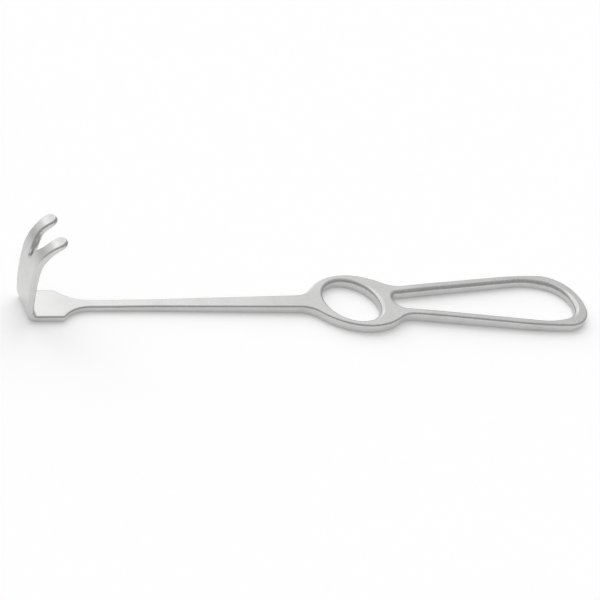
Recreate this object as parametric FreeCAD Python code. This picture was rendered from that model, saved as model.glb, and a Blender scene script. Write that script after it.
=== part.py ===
import FreeCAD, Part
import os
from math import acos, asin, atan, atan2, cos, degrees, radians, sin, sqrt, tan

os.makedirs("parts", exist_ok=True)

# Handheld retractor with two blunt prongs, forged from one steel bar.
# Millimetres. X runs from the blade to the end of the handle loop, Z is up,
# and the underside of the handle lies on Z = 0.

overall_length = 220.5

# thickness of the handle: flat flare, long rise to a crown, fall to the loop's end
plate_thickness = 2.35
crown_thickness = 3.95
loop_end_thickness = 3.25
rise_offset = 6.5
rise_radius = 600.0
crown_offset = 14.0
crown_radius = 400.0

# blade and hook seen from the side
blade_thickness = 2.45
lean_radius = 76.0
lean_height = 20.3
root_thickness_radius = 91.0
root_radius = 1.5
bend_radius = 3.6
hook_radius = 14.6
hook_sweep_deg = 70.0
prong_tip_thickness = 1.7

# blade and prongs seen square on to the hook
blade_width = 13.8
view_tilt_deg = 35.0
prong_start = 17.0
prong_start_radius = 30.0
prong_spread_deg = 6.6
prong_end = 31.45

# slot between the prongs seen from the front
slot_bottom = 21.4
slot_bottom_radius = 0.8
slot_parallel_height = 29.9
slot_width = 6.9

# flare and shaft seen from above
flare_length = 15.0
flare_corner_radius = 1.6
flare_taper_length = 10.5
shaft_start_width = 3.9
shaft_even_length = 19.5
shaft_even_radius = 300.0
shaft_end_width = 6.7

# finger ring
ring_hole_radius = 10.7
ring_front_width = 4.4
ring_side_width = 3.15
ring_side_radius = 22.6
ring_bulge_offset = 2.5
ring_to_shaft_radius = 9.0
ring_to_loop_radius = 11.0

# handle loop
web_width = 6.0
loop_length = 80.9
loop_neck_width = 13.9
loop_side_radius = 150.0
loop_width = 28.6
loop_corner_run = 13.0
loop_end_radius = 18.7

# opening of the loop
loop_arm_width = 3.35
loop_end_width = 4.4
opening_side_radius = 30.0
opening_end_radius = 9.9

# rounded edges, and the flats that break the handle's lower edges
outline_rounding = 0.7
ring_hole_rounding = 1.2
loop_opening_rounding = 1.4
lower_edge_flat = outline_rounding * (2 - sqrt(2))
flat_start = 10.0

# places along the instrument that follow from the sizes above
flare_end = flare_length
shaft_start = flare_end + flare_taper_length
loop_start = overall_length - loop_length
ring_hole_centre = loop_start - web_width - ring_hole_radius
shaft_end = ring_hole_centre - ring_hole_radius - ring_front_width
rise_start = shaft_start + rise_offset
crown = loop_start + crown_offset
rise_slope = (crown_thickness - plate_thickness) / (crown - rise_start)

# working space of the cutting shapes
split_height = 7.0
reach = 40.0


def vec(x, y, z):
    return FreeCAD.Vector(x, y, z)


def plan(x, y):
    """Point of a view from above."""
    return FreeCAD.Vector(x, y, 0)


def line(a, b):
    return Part.LineSegment(a, b).toShape()


def arc(a, b, c):
    return Part.Arc(a, b, c).toShape()


def arc_about(centre, radius, start, end):
    """Arc about a centre, from one point to another the short way round."""
    middle = (start - centre) + (end - centre)
    middle.normalize()
    return arc(start, centre + middle * radius, end)


def bend(a, corner, b, radius):
    """Start, middle and end of the arc that rounds the corner of two straight runs."""
    to_a = (a - corner).normalize()
    to_b = (b - corner).normalize()
    inward = (to_a + to_b).normalize()
    half_angle = acos(max(-1.0, to_a * to_b)) / 2
    run = radius / tan(half_angle)
    depth = radius / sin(half_angle) - radius
    return corner + to_a * run, corner + inward * depth, corner + to_b * run


def straight_runs(points, radii):
    """Straight runs through the points, each inner corner rounded by its radius."""
    edges = []
    here = points[0]
    for before, corner, after, radius in zip(points, points[1:], points[2:], radii):
        start, middle, end = bend(before, corner, after, radius)
        edges.append(line(here, start))
        edges.append(arc(start, middle, end))
        here = end
    edges.append(line(here, points[-1]))
    return edges


def closed_face(edges):
    return Part.Face(Part.Wire(Part.__sortEdges__(edges)))


def both_sides(upper, first, last):
    """Face between the edges of one side and their mirror images."""
    edges = upper + [edge.mirror(vec(0, 0, 0), vec(0, 1, 0)) for edge in upper]
    for end in (first, last):
        if end.y > 0:
            edges.append(line(end, vec(end.x, -end.y, end.z)))
    return closed_face(edges)


def on_circle(cx, cz, radius, angle_deg):
    """Point of a circle in the side view, measured up from its left end."""
    angle = radians(angle_deg)
    return vec(cx - radius * cos(angle), 0, cz + radius * sin(angle))


def outer_side():
    """Outer face of the blade and hook: a slow lean that runs into the hook."""
    lean_deg = degrees(asin(lean_height / lean_radius))
    foot = on_circle(lean_radius, lean_height, lean_radius, -lean_deg)
    lean_middle = on_circle(lean_radius, lean_height, lean_radius, -lean_deg / 2)
    hook_start = vec(0, 0, lean_height)
    hook_middle = on_circle(hook_radius, lean_height, hook_radius, hook_sweep_deg / 2)
    tip = on_circle(hook_radius, lean_height, hook_radius, hook_sweep_deg)
    return [arc(foot, lean_middle, hook_start), arc(hook_start, hook_middle, tip)], foot, tip


def inner_hook():
    """Inner side of the hook, which thins the prongs down to their tips."""
    tip = on_circle(hook_radius, lean_height, hook_radius - prong_tip_thickness, hook_sweep_deg)
    start = vec(blade_thickness, 0, lean_height)
    along = tip.x - blade_thickness
    above = tip.z - lean_height
    radius = (along * along + above * above) / (2 * along)
    half_sweep_deg = degrees(asin(above / radius)) / 2
    middle = on_circle(blade_thickness + radius, lean_height, radius, half_sweep_deg)
    return arc(tip, middle, start), tip


def inner_root():
    """Inner side of the blade from the hook down to the flat flare."""
    centre_x = blade_thickness + root_thickness_radius
    sweep_deg = degrees(asin((lean_height - plate_thickness) / root_thickness_radius))
    middle = on_circle(centre_x, lean_height, root_thickness_radius, -sweep_deg / 2)
    root = on_circle(centre_x, lean_height, root_thickness_radius, -sweep_deg)
    return arc(vec(blade_thickness, 0, lean_height), middle, root), root


def side_profile():
    """Side view of the whole forging, drawn as one closed outline."""
    outer, foot, outer_tip = outer_side()
    hook, inner_tip = inner_hook()
    inner, root = inner_root()
    end_top = vec(overall_length, 0, loop_end_thickness)
    end_low = vec(overall_length, 0, 0)
    rise = vec(rise_start, 0, plate_thickness)
    top = [root, rise, vec(crown, 0, crown_thickness), end_top]
    edges = outer + [line(outer_tip, inner_tip), hook, inner]
    edges += straight_runs(top, [rise_radius, crown_radius])
    edges += [line(end_top, end_low), line(end_low, foot)]
    return closed_face(edges)


def rounded_at(solid, place, radius):
    """Round the edge whose middle lies at the given place."""
    for edge in solid.Edges:
        if (edge.CenterOfMass - place).Length < 0.01:
            return solid.makeFillet(radius, [edge])
    return solid


def side_solid():
    """Side view carried across the width, bent at its root."""
    foot = outer_side()[1]
    root = inner_root()[1]
    face = side_profile()
    face.translate(vec(0, -reach / 2, 0))
    solid = face.extrude(vec(0, reach, 0))
    solid = rounded_at(solid, foot, bend_radius)
    return rounded_at(solid, root, root_radius)


def flare_and_shaft():
    """Flat flare that narrows in one hollow curve into the slim shaft."""
    half = blade_width / 2
    shaft_half = shaft_start_width / 2
    drop = half - shaft_half
    radius = (flare_taper_length ** 2 + drop ** 2) / (2 * drop)
    back = plan(-5, half)
    corner = plan(flare_end, half)
    neck = plan(shaft_start, shaft_half)
    even_end = plan(shaft_start + shaft_even_length, shaft_half)
    slope = (shaft_end_width / 2 - shaft_half) / (shaft_end - even_end.x)
    inside_ring = plan(ring_hole_centre, shaft_half + slope * (ring_hole_centre - even_end.x))
    upper = [line(back, corner), arc_about(plan(shaft_start, shaft_half + radius), radius, corner, neck)]
    upper += straight_runs([neck, even_end, inside_ring], [shaft_even_radius])
    return both_sides(upper, back, inside_ring)


def ring_outline():
    """Outside of the finger ring: two arcs that meet within the shaft and the loop."""
    middle = ring_hole_centre + ring_bulge_offset
    half = ring_hole_radius + ring_side_width
    chord = sqrt(ring_side_radius ** 2 - (ring_side_radius - half) ** 2)
    front = plan(middle - chord, 0)
    rear = plan(middle + chord, 0)
    return both_sides([arc(front, plan(middle, half), rear)], front, rear)


def loop_side():
    """Start, end and direction of the straight run along the loop's outside."""
    centre = plan(overall_length - loop_corner_run, loop_width / 2 - loop_side_radius)
    neck = plan(loop_start, loop_neck_width / 2)
    away = neck - centre
    turn = atan2(away.y, away.x) - acos(loop_side_radius / away.Length)
    end = centre + plan(cos(turn), sin(turn)) * loop_side_radius
    way = (end - neck).normalize()
    return neck, end, way


def loop_outline():
    """Teardrop outside of the loop: straight side, slow bulge, corner and end."""
    half = loop_width / 2
    neck, side_end, way = loop_side()
    start = neck - way * (web_width / 2)
    widest = plan(overall_length - loop_corner_run, half)
    side_centre = widest - plan(0, loop_side_radius)
    end_centre = plan(overall_length - loop_end_radius, 0)
    back = loop_end_radius - loop_corner_run
    corner_radius = (back ** 2 + half ** 2 - loop_end_radius ** 2) / (2 * (half - loop_end_radius))
    corner_centre = widest - plan(0, corner_radius)
    corner_end = end_centre + (corner_centre - end_centre).normalize() * loop_end_radius
    tip = plan(overall_length, 0)
    upper = [
        line(start, side_end),
        arc_about(side_centre, loop_side_radius, side_end, widest),
        arc_about(corner_centre, corner_radius, widest, corner_end),
        arc_about(end_centre, loop_end_radius, corner_end, tip),
    ]
    return both_sides(upper, start, tip)


def loop_opening():
    """Opening of the loop: round nose, sides one bar width inside, round end."""
    neck, _, way = loop_side()
    outward = plan(-way.y, way.x)
    on_side = neck - outward * loop_arm_width
    half_at_nose = on_side.y - way.y / way.x * (on_side.x - loop_start)
    nose_radius = half_at_nose * way.x / (1 - way.y)
    nose = plan(loop_start, 0)
    nose_centre = plan(loop_start + nose_radius, 0)
    nose_end = nose_centre + outward * nose_radius
    tip = plan(overall_length - loop_end_width, 0)
    end_centre = tip - plan(opening_end_radius, 0)
    from_end = on_side - outward * opening_side_radius - end_centre
    apart = opening_side_radius - opening_end_radius
    back = from_end * way + sqrt(apart ** 2 - (from_end * outward) ** 2)
    side_centre = end_centre + from_end - way * back
    side_start = side_centre + outward * opening_side_radius
    side_end = side_centre + (end_centre - side_centre).normalize() * opening_side_radius
    upper = [
        arc_about(nose_centre, nose_radius, nose, nose_end),
        line(nose_end, side_start),
        arc_about(side_centre, opening_side_radius, side_start, side_end),
        arc_about(end_centre, opening_end_radius, side_end, tip),
    ]
    return both_sides(upper, nose, tip)


def upright_corners(prism, x):
    """The upright corner on each side of the handle block nearest to the given place."""
    upright = []
    for edge in prism.Edges:
        a, b = edge.Vertexes[0].Point, edge.Vertexes[-1].Point
        if abs(a.z - b.z) > split_height and abs(a.y) > 0.5:
            upright.append((abs(a.x - x), edge))
    upright.sort(key=lambda found: found[0])
    return [edge for _, edge in upright[:2]]


def handle_prism():
    """Plan of the flare, shaft, ring and loop as an upright block."""
    blocks = []
    for face in (flare_and_shaft(), ring_outline(), loop_outline()):
        face.translate(vec(0, 0, -1))
        blocks.append(face.extrude(vec(0, 0, split_height + 1)))
    prism = blocks[0].fuse(blocks[1:]).removeSplitter()
    blends = [
        (shaft_end, ring_to_shaft_radius),
        (loop_start, ring_to_loop_radius),
        (flare_end, flare_corner_radius),
    ]
    for x, radius in blends:
        prism = prism.makeFillet(radius, upright_corners(prism, x))
    opening = loop_opening()
    opening.translate(vec(0, 0, -2))
    return prism.cut(opening.extrude(vec(0, 0, split_height + 3)))


def fork_prism():
    """Blade edges and both prongs, seen square on to the hook."""
    half = blade_width / 2
    slot_half = slot_width / 2
    lean = radians(prong_spread_deg)
    room = half - slot_half + (prong_end - prong_start) * tan(lean)
    tip_radius = room / (1 + tan(lean) + 1 / cos(lean))
    tip_centre = plan(prong_end - tip_radius, slot_half + tip_radius)
    outer_end = tip_centre + plan(-sin(lean), cos(lean)) * tip_radius
    tip_end = plan(prong_end, tip_centre.y)
    inner = plan(tip_centre.x, slot_half)
    foot = plan(0, half)
    upper = straight_runs([foot, plan(prong_start, half), outer_end], [prong_start_radius])
    upper.append(arc(outer_end, tip_end, inner))
    face = both_sides(upper, foot, inner)
    face.translate(vec(0, 0, -reach))
    prism = face.extrude(vec(0, 0, 2 * reach))
    prism.rotate(vec(0, 0, 0), vec(0, 1, 0), view_tilt_deg - 90)
    return prism


def slot_cutter():
    """Tulip shaped slot that parts the prongs, cut straight from the front."""
    bottom = vec(0, 0, slot_bottom)
    low = vec(0, slot_bottom_radius, slot_bottom + slot_bottom_radius)
    high = vec(0, slot_width / 2, slot_parallel_height)
    top = vec(0, slot_width / 2, reach)
    middle = (low + high) * 0.5
    step = high - low
    sway_radius = step.Length ** 2 / (4 * step.y)
    upper = [
        arc_about(low + vec(0, sway_radius, 0), sway_radius, low, middle),
        arc_about(high - vec(0, sway_radius, 0), sway_radius, middle, high),
        line(high, top),
    ]
    low_arc = arc(low, bottom, vec(0, -low.y, low.z))
    edges = upper + [edge.mirror(vec(0, 0, 0), vec(0, 1, 0)) for edge in upper]
    face = closed_face(edges + [low_arc, line(top, vec(0, -top.y, top.z))])
    face.translate(vec(-5, 0, 0))
    return face.extrude(vec(reach, 0, 0))


def ring_hole_cutter():
    """Turned finger hole, square to the top face, with a flowing upper edge."""
    rise = atan(rise_slope)
    top = (plate_thickness + rise_slope * (ring_hole_centre - rise_start)) * cos(rise)
    wall = ring_hole_radius
    lip = wall + ring_hole_rounding
    shoulder = top - ring_hole_rounding
    pull = 0.55 * ring_hole_rounding
    flow = Part.BezierCurve()
    flow.setPoles([vec(wall, 0, shoulder), vec(wall, 0, shoulder + pull), vec(lip - pull, 0, top), vec(lip, 0, top)])
    corners = [
        vec(lip, 0, top),
        vec(lip, 0, top + 1),
        vec(0, 0, top + 1),
        vec(0, 0, -1),
        vec(wall + lower_edge_flat + 1, 0, -1),
        vec(wall, 0, lower_edge_flat),
        vec(wall, 0, shoulder),
    ]
    edges = [line(a, b) for a, b in zip(corners, corners[1:])]
    tool = closed_face([flow.toShape()] + edges).revolve(vec(0, 0, 0), vec(0, 0, 1), 360)
    tool.rotate(vec(0, 0, 0), vec(0, 1, 0), -degrees(rise))
    tool.translate(vec(ring_hole_centre, 0, 0))
    return tool


def is_seam(edge):
    """True for the straight seams that cross from one face to the other."""
    if edge.Curve.TypeId != "Part::GeomLine":
        return False
    a, b = edge.Vertexes[0].Point, edge.Vertexes[-1].Point
    way = (b - a).normalize()
    tilt = radians(view_tilt_deg)
    cut_way = vec(cos(tilt), 0, -sin(tilt))
    across = max(abs(way.y), abs(way.z), abs(way * cut_way)) > 0.999
    along_slot = abs(way.x) > 0.999 and a.z > split_height
    return across or along_slot


def at_loop_opening(edge):
    """True for edges that stand right above or below the opening's outline."""
    p = edge.valueAt((edge.FirstParameter + edge.LastParameter) / 2)
    return Part.Vertex(plan(p.x, p.y)).distToShape(loop_opening().OuterWire)[0] < 0.05


def on_outline(edge):
    return not at_loop_opening(edge)


def is_low(edge):
    return edge.BoundBox.ZMax < 0.01


def is_high(edge):
    return edge.BoundBox.ZMin > plate_thickness - 0.01


def long_edges(solid, *tests):
    """Edges other than seams that pass every test."""
    return [edge for edge in solid.Edges if not is_seam(edge) and all(test(edge) for test in tests)]


def finished_handle(handle):
    """Flats along the lower edges, roundings along the upper ones, and the finger hole."""
    handle = handle.makeChamfer(lower_edge_flat, long_edges(handle, is_low))
    handle = handle.makeFillet(outline_rounding, long_edges(handle, is_high, on_outline))
    handle = handle.makeFillet(loop_opening_rounding, long_edges(handle, is_high, at_loop_opening))
    return handle.cut(ring_hole_cutter())


def forging():
    """The whole instrument, its fork rounded all round and its handle finished by itself."""
    side = side_solid()
    handle = side.common(handle_prism())
    above = Part.makeBox(60, reach, 60, vec(-20, -reach / 2, split_height))
    fork = side.common(above).common(fork_prism()).cut(slot_cutter())
    body = handle.fuse(fork).removeSplitter()
    ahead = Part.makeBox(reach, reach, 60, vec(flat_start - reach, -reach / 2, -1))
    blade = body.common(ahead)
    blade = blade.makeFillet(outline_rounding, long_edges(blade))
    body = blade.fuse(finished_handle(body.cut(ahead))).removeSplitter()
    body.translate(vec(-overall_length / 2, 0, 0))
    return body


retractor = forging()
if retractor.ShapeType != "Solid":
    retractor = retractor.Solids[0]
retractor.exportStep("parts/retractor.step")
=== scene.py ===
from math import cos, radians, sin

import bpy
from mathutils import Matrix, Vector

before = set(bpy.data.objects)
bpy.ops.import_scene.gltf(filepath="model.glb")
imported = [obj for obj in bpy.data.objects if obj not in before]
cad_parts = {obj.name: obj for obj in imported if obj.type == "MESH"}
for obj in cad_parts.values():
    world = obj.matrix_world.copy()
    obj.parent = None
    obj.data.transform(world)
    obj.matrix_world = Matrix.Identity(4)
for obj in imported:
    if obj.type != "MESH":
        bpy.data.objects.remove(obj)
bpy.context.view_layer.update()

# camera: viewing angle in degrees, place and nearest distance in metres, lens and sensor in millimetres
VIEW_AZIMUTH = -34.707
VIEW_ELEVATION = 34.515
VIEW_ROLL = 21.341
CAMERA_PLACE = (-0.328939, -0.463252, 0.390983)
CAMERA_NEAREST = 0.01
LENS_MM = 120.0
SENSOR_MM = 36.0

# steel: a faint mottle between two greys, and a fine grain that varies roughness and height
STEEL_DARK = (0.595, 0.595, 0.59, 1)
STEEL_LIGHT = (0.65, 0.65, 0.645, 1)
MOTTLE_SCALE = 90.0
MOTTLE_DETAIL = 3.0
MOTTLE_DARKEST = 0.3
MOTTLE_LIGHTEST = 0.7
GRAIN_SCALE = 5200.0
GRAIN_DETAIL = 2.0
GRAIN_STRENGTH = 0.05
GRAIN_DEPTH = 0.00005
ROUGHNESS_LOW = 0.23
ROUGHNESS_HIGH = 0.31

# studio, angles in degrees: a dim white room with a broad softbox beyond the object and to its left,
# brightest round the softbox's rim, and a wide soft lamp that the steel doesn't mirror
SOFTBOX_AZIMUTH = -10.0
SOFTBOX_ELEVATION = 40.0
STUDIO_LEVEL = 1.5
# grey of the room by the cosine of the angle to the softbox's middle
ROOM_GREYS = (
    (0.0, 0.27), (0.45, 0.32), (0.60, 0.40), (0.68, 0.50), (0.72, 0.58), (0.76, 0.62),
    (0.81, 0.60), (0.85, 0.65), (0.875, 1.12), (0.90, 1.12), (0.93, 0.73), (1.0, 0.73),
)
LAMP_AZIMUTH = 5.0
LAMP_ELEVATION = 52.0
LAMP_SOFTNESS = 60.0
LAMP_STRENGTH = 0.6

# table, in metres: white, with a slow fade to pale grey beyond the left edge of the picture, painted
# shade that the blade mirrors as a darker table there
FLOOR_SIZE = 6.0
FLOOR_DROP = 0.00002
FLOOR_COLOUR = 0.98
FLOOR_PAINTED_SHADE_COLOUR = 0.58
FLOOR_FADE_TOWARD = (-0.9652, 0.2615, 0.0)
FLOOR_FADE_START = 0.112
FLOOR_FADE_END = 0.27
FLOOR_ROUGHNESS = 0.9
FLOOR_GLOW = 0.17


def node(tree, kind, operation=None, **values):
    """Add one shader node, choose its operation and fill in its plain inputs."""
    made = tree.nodes.new(kind)
    if operation:
        made.operation = operation
    for name, value in values.items():
        made.inputs[name.replace("_", " ")].default_value = value
    return made


def ramp(tree, stops, interpolation="LINEAR"):
    """Add a colour ramp with the given positions and colours."""
    made = tree.nodes.new("ShaderNodeValToRGB")
    made.color_ramp.interpolation = interpolation
    elements = made.color_ramp.elements
    while len(elements) < len(stops):
        elements.new(0.5)
    for element, (position, colour) in zip(elements, stops):
        element.position = position
        element.color = colour
    return made


def grey(level):
    """Opaque grey as a node's colour."""
    return (level, level, level, 1)


def toward(azimuth, elevation):
    """Unit vector from the object toward a light; azimuth runs from +Y toward +X."""
    azimuth = radians(azimuth)
    elevation = radians(elevation)
    return (sin(azimuth) * cos(elevation), cos(azimuth) * cos(elevation), sin(elevation))


def new_material(name):
    """New material, with its node tree and the shader in it."""
    material = bpy.data.materials.new(name)
    material.use_nodes = True
    return material, material.node_tree, material.node_tree.nodes["Principled BSDF"]


def satin_steel():
    """Stainless steel with a satin finish."""
    material, tree, shader = new_material("satin_steel")
    link = tree.links.new
    shader.inputs["Metallic"].default_value = 1.0
    coords = node(tree, "ShaderNodeTexCoord")

    mottle = node(tree, "ShaderNodeTexNoise", Scale=MOTTLE_SCALE, Detail=MOTTLE_DETAIL)
    link(coords.outputs["Object"], mottle.inputs["Vector"])
    colour = ramp(tree, ((MOTTLE_DARKEST, STEEL_DARK), (MOTTLE_LIGHTEST, STEEL_LIGHT)))
    link(mottle.outputs["Fac"], colour.inputs["Fac"])
    link(colour.outputs["Color"], shader.inputs["Base Color"])

    grain = node(tree, "ShaderNodeTexNoise", Scale=GRAIN_SCALE, Detail=GRAIN_DETAIL)
    link(coords.outputs["Object"], grain.inputs["Vector"])
    rough = node(tree, "ShaderNodeMapRange", To_Min=ROUGHNESS_LOW, To_Max=ROUGHNESS_HIGH)
    link(grain.outputs["Fac"], rough.inputs["Value"])
    link(rough.outputs["Result"], shader.inputs["Roughness"])

    bump = node(tree, "ShaderNodeBump", Strength=GRAIN_STRENGTH, Distance=GRAIN_DEPTH)
    link(grain.outputs["Fac"], bump.inputs["Height"])
    link(bump.outputs["Normal"], shader.inputs["Normal"])
    return material


def white_table():
    """White table with painted shade that darkens it far to the left; it keeps the object's shadow and
    looks the same to the camera and in the steel.
    """
    material, tree, shader = new_material("white_table")
    link = tree.links.new
    shader.inputs["Roughness"].default_value = FLOOR_ROUGHNESS
    shader.inputs["Specular IOR Level"].default_value = 0.0
    shader.inputs["Emission Color"].default_value = grey(1)

    coords = node(tree, "ShaderNodeTexCoord")
    # painted shade: the table's colour fades from white to pale grey along this direction, far to the
    # left
    sideways = node(tree, "ShaderNodeVectorMath", "DOT_PRODUCT")
    sideways.inputs[1].default_value = FLOOR_FADE_TOWARD
    link(coords.outputs["Object"], sideways.inputs[0])
    fade = node(tree, "ShaderNodeMapRange", From_Min=FLOOR_FADE_START, From_Max=FLOOR_FADE_END)
    link(sideways.outputs["Value"], fade.inputs["Value"])
    colour = ramp(tree, ((0, grey(FLOOR_COLOUR)), (1, grey(FLOOR_PAINTED_SHADE_COLOUR))), "EASE")
    link(fade.outputs["Result"], colour.inputs["Fac"])
    link(colour.outputs["Color"], shader.inputs["Base Color"])

    path = node(tree, "ShaderNodeLightPath")
    seen = node(tree, "ShaderNodeMath", "MAXIMUM")
    link(path.outputs["Is Camera Ray"], seen.inputs[0])
    link(path.outputs["Is Glossy Ray"], seen.inputs[1])
    glow = node(tree, "ShaderNodeMath", "MULTIPLY")
    glow.inputs[1].default_value = FLOOR_GLOW
    link(seen.outputs["Value"], glow.inputs[0])
    link(glow.outputs["Value"], shader.inputs["Emission Strength"])
    return material


def add_floor():
    """Table just under the object, kept out of the exported model."""
    bpy.ops.mesh.primitive_plane_add(size=FLOOR_SIZE, location=(0, 0, -FLOOR_DROP))
    floor = bpy.context.object
    floor.name = "floor"
    floor.data.materials.append(white_table())


def add_studio():
    """World light of the softbox and the room, dim behind the viewer."""
    world = bpy.data.worlds.new("studio")
    bpy.context.scene.world = world
    world.use_nodes = True
    tree = world.node_tree
    link = tree.links.new
    coords = node(tree, "ShaderNodeTexCoord")
    facing = node(tree, "ShaderNodeVectorMath", "DOT_PRODUCT")
    facing.inputs[1].default_value = toward(SOFTBOX_AZIMUTH, SOFTBOX_ELEVATION)
    link(coords.outputs["Generated"], facing.inputs[0])
    room = ramp(tree, [(cosine, grey(level)) for cosine, level in ROOM_GREYS])
    link(facing.outputs["Value"], room.inputs["Fac"])
    background = tree.nodes["Background"]
    background.inputs["Strength"].default_value = STUDIO_LEVEL
    link(room.outputs["Color"], background.inputs["Color"])


def add_lamp():
    """Lamp for the table's shadow; the steel doesn't mirror it."""
    data = bpy.data.lights.new("lamp", "SUN")
    data.angle = radians(LAMP_SOFTNESS)
    data.energy = LAMP_STRENGTH
    lamp = bpy.data.objects.new("lamp", data)
    lamp.rotation_mode = "QUATERNION"
    lamp.rotation_quaternion = Vector(toward(LAMP_AZIMUTH, LAMP_ELEVATION)).to_track_quat("Z", "Y")
    lamp.visible_glossy = False
    bpy.context.scene.collection.objects.link(lamp)


def add_camera():
    """Camera at the photograph's viewing angle, rolled about its line of sight."""
    azimuth = radians(VIEW_AZIMUTH)
    elevation = radians(VIEW_ELEVATION)
    roll = radians(VIEW_ROLL)
    right = Vector((cos(azimuth), sin(azimuth), 0))
    ahead = Vector((-sin(azimuth) * cos(elevation), cos(azimuth) * cos(elevation), -sin(elevation)))
    up = right.cross(ahead)
    rolled_right = cos(roll) * right + sin(roll) * up
    rolled_up = cos(roll) * up - sin(roll) * right
    data = bpy.data.cameras.new("camera")
    data.lens = LENS_MM
    data.sensor_width = SENSOR_MM
    data.clip_start = CAMERA_NEAREST
    camera = bpy.data.objects.new("camera", data)
    turn = Matrix((rolled_right, rolled_up, -ahead)).transposed()
    camera.matrix_world = Matrix.Translation(CAMERA_PLACE) @ turn.to_4x4()
    bpy.context.scene.collection.objects.link(camera)
    bpy.context.scene.camera = camera


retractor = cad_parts["retractor"]
retractor.data.materials.clear()
retractor.data.materials.append(satin_steel())

bpy.context.scene.view_settings.view_transform = "Standard"
add_floor()
add_studio()
add_lamp()
add_camera()
